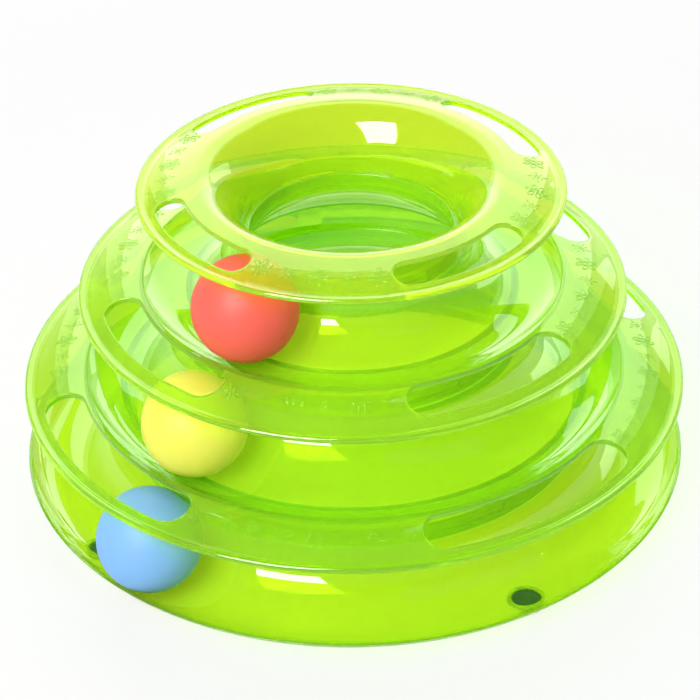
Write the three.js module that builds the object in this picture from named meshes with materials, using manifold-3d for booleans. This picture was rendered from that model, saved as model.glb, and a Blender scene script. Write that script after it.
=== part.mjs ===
// Cat puzzle feeder: a tower of round ball tracks.
// A base tray and two middle levels each carry a trough with a loose ball in it. Each level's
// slotted roof covers the trough below, and the top level ends in an open funnel.
// Every level caps the neck of the one under it and twists on four lugs to lock.
// Millimetres, +Z up, origin on the table under the centre of the tower.

import * as THREE from "three";
import { mergeVertices } from "three/addons/utils/BufferGeometryUtils.js";
import Module from "manifold-3d";

const wasm = await Module();
wasm.setup();

// Balls
const BALL_RADIUS = 19.25;
const BALL_CLEARANCE = 0.3; // between a ball and the trough it lies in
const BALL_SIDES = 20;
const BALL_RINGS = 12;

// Walls and fits
const WALL = 2; // the three levels
const BASE_WALL = 2; // the base tray
const FIT_GAP = 0.3; // between pieces that rest on or turn in each other

// Troughs, from the base up: base tray, lower level, middle level
const TROUGH_RADIUS = [110, 88, 65.1]; // axis to the lowest line of the trough
const NECK_CLEARANCE = [2.2, 7.2, 3.9]; // from the ball's side to the neck it passes
const FLARE_HEIGHT = [19.3, 21.2, 17.2]; // trough's lowest line up to the shoulder
const RIM_REACH = [15, 14, 13.4]; // how far the roof's rim overhangs past that line
const RIM_CLEARANCE = [0, 0.4, 1.1]; // rim height above the trough, past the ball's diameter

// Roofs, from the lowest up: lower level, middle level, top level
const ROOF_RISE = [5.3, 6.3, 5.3]; // rim up to the lip, or to the crest on the top level
const ROOF_BULGE = 0.8;
const BEAD_RADIUS = 1.4; // rolled edge of each rim
const BEAD_NECK = 0.6; // flat between the bead and the roof
const LIP_STEP = 0.9; // small step from the roof's lip down to the trough's floor
const LIP_WIDTH = 0.8;
const TROUGH_DEPTH = [0, 6.3, 5.1]; // lip down to the trough's lowest line, by trough
const BASE_LIP_RISE = 7; // the tray's own lip above its trough
const BASE_LIP_WALL = 1.1; // the tray's wall thins to this at its lip
const BASE_EDGE_WIDTH = 8.4; // the tray's upturned edge, from the flat floor to the lip
const BASE_EDGE_DEGREES = 80; // how far up the edge turns

// Funnel of the top level
const CREST_RADIUS = 56.5;
const FUNNEL_POWER = 1.5; // 2 is an ellipse, 1 a cone
const FUNNEL_FOOT = 0.8; // straight neck above the spigot's top

// Necks and their twist locks
const COLLAR_WALL = 2.2;
const SPIGOT_WALL = 2;
const SPIGOT_RISE = 5.9; // shoulder up to the spigot's top
const NECK_BLEND = 5; // thickened wall under the shoulder
const LUG_PROUD = 0.9; // how far a lug overlaps the collar's wall
const LUG_WIDTH = 7;
const LUG_HEIGHT = 2.2;
const LUG_DROP = 0.9; // spigot's top down to the lug's top
const GROOVE_SPARE = 0.3; // groove past the lug, on every side
const TWIST_DEGREES = 20; // turn from locked to free

// Slots for paws in each roof, from the lowest up
const SLOT_COUNT = 4;
const SLOT_FIRST_DEGREES = 35;
const SLOT_SPAN_DEGREES = 46; // tip to tip
const SLOT_RIM_MARGIN = [6, 7.8, 5.5]; // slot's outer edge to the rim
const SLOT_LIP_MARGIN = [1.8, 1.5, 5.5]; // lip or crest to the slot's inner edge

// Rubber feet, each a plug with its flange let into the tray's underside
const FOOT_COUNT = 4;
const FOOT_FIRST_DEGREES = -57;
const FOOT_OUTWARD = 1.5; // from the trough's lowest line out to the feet
const FOOT_DROP = 0.8; // the tray's lowest face above the table
const FOOT_TREAD_RADIUS = 5; // flat that meets the table
const FOOT_FLANGE_RADIUS = 6.95;
const FOOT_FLANGE_SINK = 1.1; // depth of its seat in the tray's underside
const FOOT_STEM_RADIUS = 5.2;
const FOOT_STEM_RECESS = 0.5; // stem's top below the trough's floor
const FOOT_SIDES = 16;

// Where the balls lie, in degrees round the axis
const BALL_DEGREES = { blue: -132.4, yellow: -132, red: -127.1 };

// Fineness of the solids
const RING_SIDES = 48;
const FLARE_STEPS = 5;
const ROOF_STEPS = 2;
const FUNNEL_STEPS = 5;
const LIP_STEPS = 3;
const LUG_ARC_STEPS = 3;
const SLOT_ARC_STEPS = 4;
const SEAT_HALVINGS = 40; // in the search for where a ball rests
const OVERRUN = 4; // how far a cutter runs past what it cuts

const radians = THREE.MathUtils.degToRad;

// Sizes that follow from those above
const neckRadius = TROUGH_RADIUS.map((r, i) => r - BALL_RADIUS - NECK_CLEARANCE[i]);
const rimRadius = TROUGH_RADIUS.map((r, i) => r + RIM_REACH[i]);
const spigotRadius = neckRadius.map((r) => r - COLLAR_WALL - FIT_GAP);
const floorHeight = [FOOT_DROP + BASE_WALL];
const rimHeight = [];
const lipHeight = [];
for (let tier = 0; tier < TROUGH_RADIUS.length; tier += 1) {
  rimHeight.push(floorHeight[tier] + 2 * BALL_RADIUS + RIM_CLEARANCE[tier]);
  lipHeight.push(rimHeight[tier] + ROOF_RISE[tier]);
  if (tier + 1 < TROUGH_RADIUS.length) {
    floorHeight.push(lipHeight[tier] - TROUGH_DEPTH[tier + 1]);
  }
}
const shoulderHeight = floorHeight.map((z, i) => z + FLARE_HEIGHT[i]);
// A level's lip stands under the rim of the level above; the top level has its crest there
const roofTopRadius = [rimRadius[1], rimRadius[2], CREST_RADIUS];
const slotDegrees = spacedDegrees(SLOT_COUNT, SLOT_FIRST_DEGREES);
const footDegrees = spacedDegrees(FOOT_COUNT, FOOT_FIRST_DEGREES);
const footRadius = TROUGH_RADIUS[0] + FOOT_OUTWARD;

// Evenly spaced angles round the axis
function spacedDegrees(count, first) {
  return Array.from({ length: count }, (_, i) => first + (i * 360) / count);
}

// A closed three.js geometry as a solid that can be cut and joined
function solidOf(geometry) {
  geometry.deleteAttribute("normal");
  geometry.deleteAttribute("uv");
  const merged = mergeVertices(geometry, 1e-4);
  return new wasm.Manifold(
    new wasm.Mesh({
      numProp: 3,
      vertProperties: Float32Array.from(merged.attributes.position.array),
      triVerts: Uint32Array.from(merged.index.array),
    }),
  );
}

// A solid as a named mesh
function meshOf(name, solid, material) {
  const data = solid.getMesh();
  const geometry = new THREE.BufferGeometry();
  geometry.setAttribute("position", new THREE.BufferAttribute(Float32Array.from(data.vertProperties), 3));
  geometry.setIndex(new THREE.BufferAttribute(Uint32Array.from(data.triVerts), 1));
  geometry.computeVertexNormals();
  const mesh = new THREE.Mesh(geometry, material);
  mesh.name = name;
  return mesh;
}

// A ring turned from an outline of [radius, height] points, listed clockwise
function turned(outline, sides = RING_SIDES) {
  const points = outline.map(([r, z]) => new THREE.Vector2(r, z));
  points.push(points[0].clone());
  points.reverse();
  return solidOf(new THREE.LatheGeometry(points, sides).rotateX(Math.PI / 2));
}

// A piece of a ring between two radii, two angles and two heights
function sector(inner, outer, fromDegrees, toDegrees, bottom, top) {
  const shape = new THREE.Shape();
  shape.absarc(0, 0, outer, radians(fromDegrees), radians(toDegrees), false);
  shape.absarc(0, 0, inner, radians(toDegrees), radians(fromDegrees), true);
  shape.closePath();
  const options = { depth: top - bottom, bevelEnabled: false, curveSegments: LUG_ARC_STEPS };
  return solidOf(new THREE.ExtrudeGeometry(shape, options).translate(0, 0, bottom));
}

// A round post on the tower's axis, moved out to a place given by radius and angle
function post(radiusBottom, radiusTop, bottom, top, outward, degrees) {
  const geometry = new THREE.CylinderGeometry(radiusTop, radiusBottom, top - bottom, FOOT_SIDES);
  const angle = radians(degrees);
  geometry.rotateX(Math.PI / 2);
  geometry.translate(outward * Math.cos(angle), outward * Math.sin(angle), (top + bottom) / 2);
  return solidOf(geometry);
}

// The line beside a polyline, at a distance to its right as it runs
function offsetLine(points, distance) {
  return points.map((point, i) => {
    const before = points[Math.max(i - 1, 0)];
    const after = points[Math.min(i + 1, points.length - 1)];
    const a = i > 0 ? unit(before, point) : unit(point, after);
    const b = i < points.length - 1 ? unit(point, after) : a;
    const bisector = [a[1] + b[1], -a[0] - b[0]];
    const length = Math.hypot(...bisector);
    const reach = distance / (length / 2);
    return [point[0] + (bisector[0] / length) * reach, point[1] + (bisector[1] / length) * reach];
  });
}

function unit(from, to) {
  const length = Math.hypot(to[0] - from[0], to[1] - from[1]);
  return [(to[0] - from[0]) / length, (to[1] - from[1]) / length];
}

// Height of a surface line at a radius
function heightAt(line, radius) {
  for (let i = 1; i < line.length; i += 1) {
    const [r0, z0] = line[i - 1];
    const [r1, z1] = line[i];
    if (radius >= r0 && radius <= r1 && r1 > r0) {
      return z0 + ((z1 - z0) * (radius - r0)) / (r1 - r0);
    }
  }
  return line[line.length - 1][1];
}

// A trough's inner wall: a quarter ellipse from the shoulder down to the lowest line
function flareLine(tier) {
  const across = TROUGH_RADIUS[tier] - neckRadius[tier];
  return Array.from({ length: FLARE_STEPS + 1 }, (_, i) => {
    const angle = (Math.PI / 2) * (1 - i / FLARE_STEPS);
    return [
      TROUGH_RADIUS[tier] - across * Math.cos(Math.PI / 2 - angle),
      shoulderHeight[tier] - FLARE_HEIGHT[tier] * Math.sin(Math.PI / 2 - angle),
    ];
  });
}

// The spigot above a shoulder, from its foot inside, over its top, to the shoulder's edge
function spigotOutline(tier) {
  const outside = spigotRadius[tier];
  const inside = outside - SPIGOT_WALL;
  const top = shoulderHeight[tier] + SPIGOT_RISE;
  return [
    [inside, shoulderHeight[tier] - WALL],
    [inside, top],
    [outside, top],
    [outside, shoulderHeight[tier]],
  ];
}

// The underside of a flare, once it is clear of the thick wall under the shoulder
function flareUnderside(tier, wall) {
  const under = offsetLine(flareLine(tier), wall);
  return under.filter(([, z]) => z < shoulderHeight[tier] - NECK_BLEND);
}

// A roof's upper face from its lip or crest out to the foot of the bead
function roofLine(tier) {
  const inner = roofTopRadius[tier];
  const outer = rimRadius[tier] - 2 * BEAD_RADIUS - BEAD_NECK;
  const drop = ROOF_RISE[tier] * ((outer - inner) / (rimRadius[tier] - inner));
  return Array.from({ length: ROOF_STEPS + 1 }, (_, i) => {
    const t = i / ROOF_STEPS;
    return [inner + (outer - inner) * t, lipHeight[tier] - drop * t + 4 * ROOF_BULGE * t * (1 - t)];
  });
}

// The rolled bead round a rim, from its upper inside over the edge to its lower inside
function beadLine(tier) {
  const degrees = [125, 60, 0, -60, -125];
  return degrees.map((angle) => [
    rimRadius[tier] - BEAD_RADIUS + BEAD_RADIUS * Math.cos(radians(angle)),
    rimHeight[tier] + BEAD_RADIUS * Math.sin(radians(angle)),
  ]);
}

// One level: roof, lip, trough, flare and spigot in one moulding, and the collar under it
function levelSolid(tier) {
  const lipRadius = roofTopRadius[tier - 1];
  const lip = lipHeight[tier - 1];
  const flare = flareLine(tier);
  const roof = roofLine(tier - 1);
  const floor = [...flare, [lipRadius - LIP_WIDTH, lip - LIP_STEP]];
  const outline = [
    ...spigotOutline(tier),
    ...floor,
    [lipRadius - LIP_WIDTH / 2, lip],
    ...roof,
    ...beadLine(tier - 1),
    ...offsetLine(roof, WALL).slice(1).reverse(),
    [lipRadius, lip - LIP_STEP - WALL],
    ...flareUnderside(tier, WALL).reverse(),
  ];
  return turned(outline).add(collarSolid(tier - 1, (radius) => heightAt(floor, radius) - WALL / 2));
}

// The collar that caps the spigot of the piece below, with its four L grooves
function collarSolid(joint, topAt) {
  const outside = neckRadius[joint];
  const inside = outside - COLLAR_WALL;
  const bottom = shoulderHeight[joint] + FIT_GAP;
  const ring = turned([
    [inside, bottom],
    [inside, topAt(inside)],
    [outside, topAt(outside)],
    [outside, bottom],
  ]);
  return cutGrooves(ring, joint);
}

function cutGrooves(ring, joint) {
  const inside = neckRadius[joint] - COLLAR_WALL;
  const depth = LUG_PROUD + GROOVE_SPARE;
  const bottom = shoulderHeight[joint] + FIT_GAP;
  const lugTop = shoulderHeight[joint] + SPIGOT_RISE - LUG_DROP;
  const half = THREE.MathUtils.radToDeg((LUG_WIDTH / 2 + GROOVE_SPARE) / spigotRadius[joint]);
  let result = ring;
  for (const centre of slotDegrees) {
    const run = sector(
      inside - depth,
      inside + depth,
      centre - TWIST_DEGREES - half,
      centre + half,
      lugTop - LUG_HEIGHT - GROOVE_SPARE,
      lugTop + GROOVE_SPARE,
    );
    const entry = sector(
      inside - depth,
      inside + depth,
      centre - TWIST_DEGREES - half,
      centre - TWIST_DEGREES + half,
      bottom - OVERRUN,
      lugTop,
    );
    result = result.subtract(run).subtract(entry);
  }
  return result;
}

// The four lugs on a spigot
function addLugs(body, joint) {
  const outside = spigotRadius[joint];
  const half = THREE.MathUtils.radToDeg(LUG_WIDTH / 2 / outside);
  const top = shoulderHeight[joint] + SPIGOT_RISE - LUG_DROP;
  let result = body;
  for (const centre of slotDegrees) {
    const proud = outside + FIT_GAP + LUG_PROUD;
    const lug = sector(outside - SPIGOT_WALL / 2, proud, centre - half, centre + half, top - LUG_HEIGHT, top);
    result = result.add(lug);
  }
  return result;
}

// The four curved slots with round ends in a roof
function cutSlots(body, tier) {
  const outer = rimRadius[tier] - SLOT_RIM_MARGIN[tier];
  const inner = roofTopRadius[tier] + SLOT_LIP_MARGIN[tier];
  const middle = (outer + inner) / 2;
  const half = (outer - inner) / 2;
  const reach = radians(SLOT_SPAN_DEGREES / 2) - Math.asin(half / middle);
  const bottom = rimHeight[tier] - OVERRUN;
  const depth = ROOF_RISE[tier] + 2 * OVERRUN;
  let result = body;
  for (const centre of slotDegrees) {
    const start = radians(centre) - reach;
    const end = radians(centre) + reach;
    const shape = new THREE.Shape();
    const roundEnd = (angle, from) => {
      shape.absarc(middle * Math.cos(angle), middle * Math.sin(angle), half, from, from + Math.PI, false);
    };
    shape.absarc(0, 0, outer, start, end, false);
    roundEnd(end, end);
    shape.absarc(0, 0, inner, end, start, true);
    roundEnd(start, start + Math.PI);
    const options = { depth, bevelEnabled: false, curveSegments: SLOT_ARC_STEPS };
    result = result.subtract(solidOf(new THREE.ExtrudeGeometry(shape, options).translate(0, 0, bottom)));
  }
  return result;
}

// The top level: roof, crest and funnel down to its collar
function topSolid() {
  const tier = TROUGH_RADIUS.length - 1;
  const collarInside = neckRadius[tier] - COLLAR_WALL;
  const neckTop = shoulderHeight[tier] + SPIGOT_RISE + FUNNEL_FOOT;
  const across = CREST_RADIUS - collarInside;
  const drop = lipHeight[tier] - neckTop;
  const funnel = Array.from({ length: FUNNEL_STEPS }, (_, i) => {
    const angle = (Math.PI / 2) * (i / FUNNEL_STEPS);
    return [
      CREST_RADIUS - across * Math.cos(angle) ** (2 / FUNNEL_POWER),
      neckTop + drop * Math.sin(angle) ** (2 / FUNNEL_POWER),
    ];
  });
  const upper = [...funnel, ...roofLine(tier)];
  const under = offsetLine(upper, WALL).slice(1).reverse();
  const bottom = shoulderHeight[tier] + FIT_GAP;
  const outline = [
    [collarInside, bottom],
    ...upper,
    ...beadLine(tier),
    ...under,
    [neckRadius[tier], neckTop],
    [neckRadius[tier], bottom],
  ];
  return cutSlots(cutGrooves(turned(outline), tier), tier);
}

// The base tray: a flat-floored trough with an upturned edge, flare and spigot
function baseSolid() {
  const reach = BALL_RADIUS + 2 * BALL_CLEARANCE;
  const lipRadius = TROUGH_RADIUS[0] + Math.sqrt(reach ** 2 - (reach - BASE_LIP_RISE) ** 2);
  const end = radians(BASE_EDGE_DEGREES);
  const edge = Array.from({ length: LIP_STEPS + 1 }, (_, i) => {
    const angle = (end * i) / LIP_STEPS;
    return [
      lipRadius - BASE_EDGE_WIDTH * (1 - Math.sin(angle) / Math.sin(end)),
      floorHeight[0] + (BASE_LIP_RISE * (1 - Math.cos(angle))) / (1 - Math.cos(end)),
    ];
  });
  const outline = [
    ...spigotOutline(0),
    ...flareLine(0),
    ...edge,
    [lipRadius + BASE_LIP_WALL, edge[LIP_STEPS][1]],
    ...offsetLine(edge, BASE_WALL).slice(0, -1).reverse(),
    ...flareUnderside(0, BASE_WALL).reverse(),
  ];
  return cutFootSeats(addLugs(turned(outline), 0));
}

// A hole through the tray for each foot's stem, and a wider seat for its flange
function cutFootSeats(tray) {
  const seatTop = FOOT_DROP + FOOT_FLANGE_SINK;
  const seatRadius = FOOT_FLANGE_RADIUS + FIT_GAP;
  const holeRadius = FOOT_STEM_RADIUS + FIT_GAP;
  let result = tray;
  for (const degrees of footDegrees) {
    const seat = post(seatRadius, seatRadius, -OVERRUN, seatTop, footRadius, degrees);
    const hole = post(holeRadius, holeRadius, 0, floorHeight[0] + OVERRUN, footRadius, degrees);
    result = result.subtract(seat).subtract(hole);
  }
  return result;
}

// A rubber foot: a bevelled tread, a flange in its seat and a stem up the hole
function footSolid(degrees) {
  const place = [footRadius, degrees];
  const flangeTop = FOOT_DROP + FOOT_FLANGE_SINK - FIT_GAP;
  const tread = post(FOOT_TREAD_RADIUS, FOOT_FLANGE_RADIUS, 0, FOOT_DROP, ...place);
  const flange = post(FOOT_FLANGE_RADIUS, FOOT_FLANGE_RADIUS, FOOT_DROP, flangeTop, ...place);
  const stemTop = floorHeight[0] - FOOT_STEM_RECESS;
  const stem = post(FOOT_STEM_RADIUS, FOOT_STEM_RADIUS, FOOT_DROP, stemTop, ...place);
  return tread.add(flange).add(stem);
}

// Where a ball's centre lies in a trough: as far in as the flare lets it roll
function ballSeat(tier) {
  const reach = BALL_RADIUS + BALL_CLEARANCE;
  if (tier === 0) {
    return [TROUGH_RADIUS[0], floorHeight[0] + reach];
  }
  const lipRadius = roofTopRadius[tier - 1] - LIP_WIDTH;
  const slope = Math.atan2(lipHeight[tier - 1] - LIP_STEP - floorHeight[tier], lipRadius - TROUGH_RADIUS[tier]);
  const centreAt = (radius) => [
    radius,
    floorHeight[tier] + reach / Math.cos(slope) + (radius - TROUGH_RADIUS[tier]) * Math.tan(slope),
  ];
  let inside = TROUGH_RADIUS[tier] - BALL_RADIUS / 2;
  let outside = TROUGH_RADIUS[tier];
  for (let i = 0; i < SEAT_HALVINGS; i += 1) {
    const middle = (inside + outside) / 2;
    if (distanceToFlare(tier, centreAt(middle)) < reach) {
      inside = middle;
    } else {
      outside = middle;
    }
  }
  return centreAt(outside);
}

// Shortest way from a point to the smooth flare
function distanceToFlare(tier, [radius, height]) {
  const across = TROUGH_RADIUS[tier] - neckRadius[tier];
  let nearest = Infinity;
  for (let i = 0; i <= 90; i += 1) {
    const r = TROUGH_RADIUS[tier] - across * Math.cos(radians(i));
    const z = shoulderHeight[tier] - FLARE_HEIGHT[tier] * Math.sin(radians(i));
    nearest = Math.min(nearest, Math.hypot(radius - r, height - z));
  }
  return nearest;
}

function ballSolid() {
  return solidOf(new THREE.SphereGeometry(BALL_RADIUS, BALL_SIDES, BALL_RINGS));
}

// Clear coloured plastic of a level
function plastic(color) {
  return new THREE.MeshStandardMaterial({ color, roughness: 0.12, metalness: 0, transparent: true, opacity: 0.7 });
}

const group = new THREE.Group();

group.add(meshOf("base_tray", baseSolid(), plastic(0xa3e02a)));
group.add(meshOf("lower_level", cutSlots(addLugs(levelSolid(1), 1), 0), plastic(0x9be026)));
group.add(meshOf("middle_level", cutSlots(addLugs(levelSolid(2), 2), 1), plastic(0xa0e228)));
group.add(meshOf("top_level", topSolid(), plastic(0xaee62c)));

const ballColors = { blue: 0x91c8fa, yellow: 0xf0f55f, red: 0xff705f };
Object.keys(BALL_DEGREES).forEach((name, tier) => {
  const material = new THREE.MeshStandardMaterial({ color: ballColors[name], roughness: 0.6, metalness: 0 });
  const ball = meshOf(`ball_${name}`, ballSolid(), material);
  const [radius, height] = ballSeat(tier);
  const angle = radians(BALL_DEGREES[name]);
  ball.position.set(radius * Math.cos(angle), radius * Math.sin(angle), height);
  group.add(ball);
});

const footNames = ["foot_front_right", "foot_back_right", "foot_back_left", "foot_front_left"];
footDegrees.forEach((degrees, i) => {
  const material = new THREE.MeshStandardMaterial({ color: 0x3c4a30, roughness: 0.85, metalness: 0 });
  group.add(meshOf(footNames[i] ?? `foot_${i + 1}`, footSolid(degrees), material));
});

export default group;
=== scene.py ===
"""Cat puzzle feeder: a tower of three round ball tracks in clear lime plastic.

Sizes are in millimetres in the dataclasses and become metres where a mesh is made. The origin is on
the table under the tower's axis, +Z is up and the front is towards -Y.
"""
from __future__ import annotations

import logging
import math
from collections.abc import Callable
from dataclasses import dataclass, field
from enum import Enum, IntEnum

import bmesh
import bpy
from mathutils import Matrix, Vector


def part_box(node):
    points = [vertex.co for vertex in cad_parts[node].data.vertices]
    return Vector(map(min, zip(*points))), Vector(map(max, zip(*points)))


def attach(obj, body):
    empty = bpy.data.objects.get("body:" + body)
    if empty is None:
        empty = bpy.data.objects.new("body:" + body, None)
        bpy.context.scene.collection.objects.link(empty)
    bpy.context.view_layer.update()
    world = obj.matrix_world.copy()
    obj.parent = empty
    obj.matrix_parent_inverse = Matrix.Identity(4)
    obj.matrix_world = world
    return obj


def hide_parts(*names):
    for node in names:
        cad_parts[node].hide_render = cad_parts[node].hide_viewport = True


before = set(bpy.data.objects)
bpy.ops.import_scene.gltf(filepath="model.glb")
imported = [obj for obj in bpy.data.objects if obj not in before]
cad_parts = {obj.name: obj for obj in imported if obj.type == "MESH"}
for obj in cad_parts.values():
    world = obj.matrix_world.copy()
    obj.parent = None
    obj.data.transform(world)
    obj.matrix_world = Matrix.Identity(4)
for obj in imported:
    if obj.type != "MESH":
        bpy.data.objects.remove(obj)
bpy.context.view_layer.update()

LOG = logging.getLogger("cat_puzzle_feeder")
MM = 0.001
FACE_REACH = 0.02
BROAD_FACE_WEIGHT = 80

Point = tuple[float, float]
Line = list[Point]
Corner = tuple[float, float, float]
Tiers = tuple[float, float, float]
Colour = tuple[float, float, float]
Band = tuple[int, int]


@dataclass(frozen=True)
class TowerSizes:
    """Driving sizes of the whole tower, in millimetres and degrees, listed from the base up."""

    ball_radius: float = 19.25
    ball_clearance: float = 0.6
    wall: float = 2.0
    fit_gap: float = 0.3
    trough_radius: Tiers = (110.0, 88.0, 65.1)
    neck_clearance: Tiers = (2.2, 7.2, 3.9)
    flare_height: Tiers = (19.3, 21.2, 17.2)
    rim_reach: Tiers = (15.0, 14.0, 13.4)
    rim_clearance: Tiers = (0.0, 0.4, 1.1)
    roof_rise: Tiers = (5.3, 6.3, 5.3)
    roof_bulge: float = 0.8
    bead_radius: float = 1.15
    bead_neck: float = 0.5
    bead_turn_degrees: float = 125.0
    lip_step: float = 0.9
    lip_width: float = 0.8
    trough_depth: Tiers = (0.0, 6.3, 5.1)
    base_lip_rise: float = 7.0
    base_lip_wall: float = 1.1
    crest_radius: float = 56.5
    funnel_crest_power: float = 1.9
    funnel_foot_power: float = 1.5
    funnel_foot: float = 0.8
    collar_wall: float = 2.2
    spigot_wall: float = 2.0
    spigot_rise: float = 5.9
    neck_blend: float = 5.0
    lug_proud: float = 0.9
    lug_width: float = 7.0
    lug_height: float = 2.2
    lug_drop: float = 0.9
    groove_spare: float = 0.3
    lock_ease: float = 0.16
    lock_side_ease_degrees: float = 0.16
    collar_ease: float = 0.3
    collar_inner_ease: float = 0.27
    collar_root_ease: float = 0.8
    collar_ceiling_ease: float = 0.7
    collar_side_room: float = 0.9
    edge_ease: float = 0.5
    spigot_foot_ease: float = 0.35
    spigot_root_ease: float = 1.2
    spigot_root: float = 1.0
    twist_degrees: float = 20.0
    slot_count: int = 4
    slot_first_degrees: float = 35.0
    slot_span_degrees: float = 46.0
    slot_rim_margin: Tiers = (6.0, 7.8, 5.5)
    slot_lip_margin: Tiers = (1.8, 1.5, 5.5)
    foot_count: int = 4
    foot_first_degrees: float = -57.0
    foot_outward: float = 1.5
    foot_drop: float = 0.8
    foot_tread_radius: float = 5.0
    foot_flange_radius: float = 6.95
    foot_flange_sink: float = 1.1
    foot_stem_radius: float = 5.2
    foot_stem_recess: float = 0.5

    def neck(self, tier: int) -> float:
        """Radius of a trough's neck at its shoulder."""
        return self.trough_radius[tier] - self.ball_radius - self.neck_clearance[tier]

    def rim(self, tier: int) -> float:
        """Radius of the rim that overhangs a trough."""
        return self.trough_radius[tier] + self.rim_reach[tier]

    def spigot(self, tier: int) -> float:
        """Outer radius of the spigot that stands on a neck."""
        return self.neck(tier) - self.collar_wall - self.fit_gap

    def floor_height(self, tier: int) -> float:
        """Works out the height of a trough's lowest line.

        Args:
            tier: Which trough, counted from the base.

        Returns:
            The height of its upper face there.
        """
        if tier == 0:
            return self.foot_drop + self.wall
        return self.lip_height(tier - 1) - self.trough_depth[tier]

    def rim_height(self, tier: int) -> float:
        """Height of a rim's widest line."""
        return self.floor_height(tier) + 2 * self.ball_radius + self.rim_clearance[tier]

    def lip_height(self, tier: int) -> float:
        """Height of a roof's lip, or of the crest on the top roof."""
        return self.rim_height(tier) + self.roof_rise[tier]

    def shoulder(self, tier: int) -> float:
        """Height of the shoulder that a collar rests on."""
        return self.floor_height(tier) + self.flare_height[tier]

    def roof_top(self, tier: int) -> float:
        """Radius at which a roof starts: the lip, or the crest on the top roof."""
        last = len(self.trough_radius) - 1
        return self.rim(tier + 1) if tier < last else self.crest_radius

    def roof_foot(self, tier: int) -> float:
        """Radius at which a roof meets the bead of its rim."""
        return self.rim(tier) - 2 * self.bead_radius - self.bead_neck

    def lug_top(self, tier: int) -> float:
        """Height of the upper face of the lugs on a spigot."""
        return self.shoulder(tier) + self.spigot_rise - self.lug_drop

    def slot_degrees(self) -> list[float]:
        """Angles of the paw slots, which the lugs of the twist locks share."""
        return [self.slot_first_degrees + i * 360 / self.slot_count for i in range(self.slot_count)]

    def foot_degrees(self) -> list[float]:
        """Angles of the rubber feet."""
        return [self.foot_first_degrees + i * 360 / self.foot_count for i in range(self.foot_count)]

    def foot_place(self) -> float:
        """Distance of the feet from the axis."""
        return self.trough_radius[0] + self.foot_outward

    def slot_edges(self, tier: int) -> Point:
        """Inner and outer radius of a roof's paw slots."""
        inner = self.roof_top(tier) + self.slot_lip_margin[tier]
        return inner, self.rim(tier) - self.slot_rim_margin[tier]


SIZES = TowerSizes()


def spread(first: float, last: float, steps: int) -> list[float]:
    """Evenly spaced values, both ends included.

    Args:
        first: Value at the start.
        last: Value at the end.
        steps: Number of intervals between them.

    Returns:
        One more value than there are steps.
    """
    return [first + (last - first) * i / steps for i in range(steps + 1)]


def beside(points: Line, distance: float) -> Line:
    """Draws the line that runs beside another, to its right.

    Args:
        points: The line, as radius and height.
        distance: How far to the right the new line runs.

    Returns:
        A line of as many points.
    """
    result = []
    for i, (r, z) in enumerate(points):
        r0, z0 = points[max(i - 1, 0)]
        r1, z1 = points[min(i + 1, len(points) - 1)]
        length = math.hypot(r1 - r0, z1 - z0)
        result.append((r + (z1 - z0) / length * distance, z - (r1 - r0) / length * distance))
    return result


def height_on(line: Line, radius: float) -> float:
    """Reads the height of a line at a radius.

    Args:
        line: Points in order of growing radius.
        radius: Where to read it.

    Returns:
        The height, or that of the nearer end where the line doesn't reach.
    """
    for (r0, z0), (r1, z1) in zip(line, line[1:]):
        if r0 <= radius <= r1 and r1 > r0:
            return z0 + (z1 - z0) * (radius - r0) / (r1 - r0)
    return line[0][1] if radius < line[0][0] else line[-1][1]


def point_along(points: list[Corner], reach: list[float], length: float) -> Point:
    """Finds the place at a length along a line.

    Args:
        points: The line's points.
        reach: Length of the line up to each point.
        length: How far along to look.

    Returns:
        Radius and height.
    """
    last = len(points) - 2
    i = next((i for i in range(last) if length <= reach[i + 1]), last)
    share = (length - reach[i]) / (reach[i + 1] - reach[i])
    r0, z0, _ = points[i]
    r1, z1, _ = points[i + 1]
    return r0 + (r1 - r0) * share, z0 + (z1 - z0) * share


def bend_point(start: Point, corner: Point, end: Point, share: float) -> Point:
    """Finds a point on the curve that rounds a corner.

    Args:
        start: Where the rounding starts.
        corner: The sharp corner.
        end: Where the rounding ends.
        share: How far along the curve, from 0 to 1.

    Returns:
        Radius and height.
    """
    first, middle, last = (1 - share) ** 2, 2 * share * (1 - share), share * share
    return (
        first * start[0] + middle * corner[0] + last * end[0],
        first * start[1] + middle * corner[1] + last * end[1],
    )


def eased(points: list[Corner], steps: int = 4) -> Line:
    """Rounds the corners of an open line.

    Args:
        points: Radius, height and, at a corner, how far back along the line the rounding starts.
        steps: Number of intervals round each corner.

    Returns:
        The line with each marked corner replaced by a short curve.
    """
    reach = [0.0]
    for (r0, z0, _), (r1, z1, _) in zip(points, points[1:]):
        reach.append(reach[-1] + math.hypot(r1 - r0, z1 - z0))
    corners = [(reach[i], cut) for i, (_, _, cut) in enumerate(points) if cut > 0]
    result = []
    for i, (r, z, cut) in enumerate(points):
        if cut > 0:
            start = point_along(points, reach, reach[i] - cut)
            end = point_along(points, reach, reach[i] + cut)
            result += [bend_point(start, (r, z), end, share) for share in spread(0, 1, steps)]
        elif all(abs(reach[i] - place) > size - 1e-6 for place, size in corners):
            result.append((r, z))
    return result


def rising_arc(start: Point, end: Point, steps: int) -> Line:
    """Draws an arc that leaves a point level and climbs to another.

    Args:
        start: Radius and height where it is level.
        end: Where it ends, further out and higher.
        steps: Number of intervals.

    Returns:
        The arc's points, without its start.
    """
    across, rise = end[0] - start[0], end[1] - start[1]
    bend = (across**2 + rise**2) / (2 * rise)
    line = []
    for angle in spread(0, math.asin(across / bend), steps):
        line.append((start[0] + bend * math.sin(angle), start[1] + bend * (1 - math.cos(angle))))
    return line[1:]


def plain(points: Line) -> list[Corner]:
    """A line whose points are no corners."""
    return [(r, z, 0.0) for r, z in points]


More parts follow.
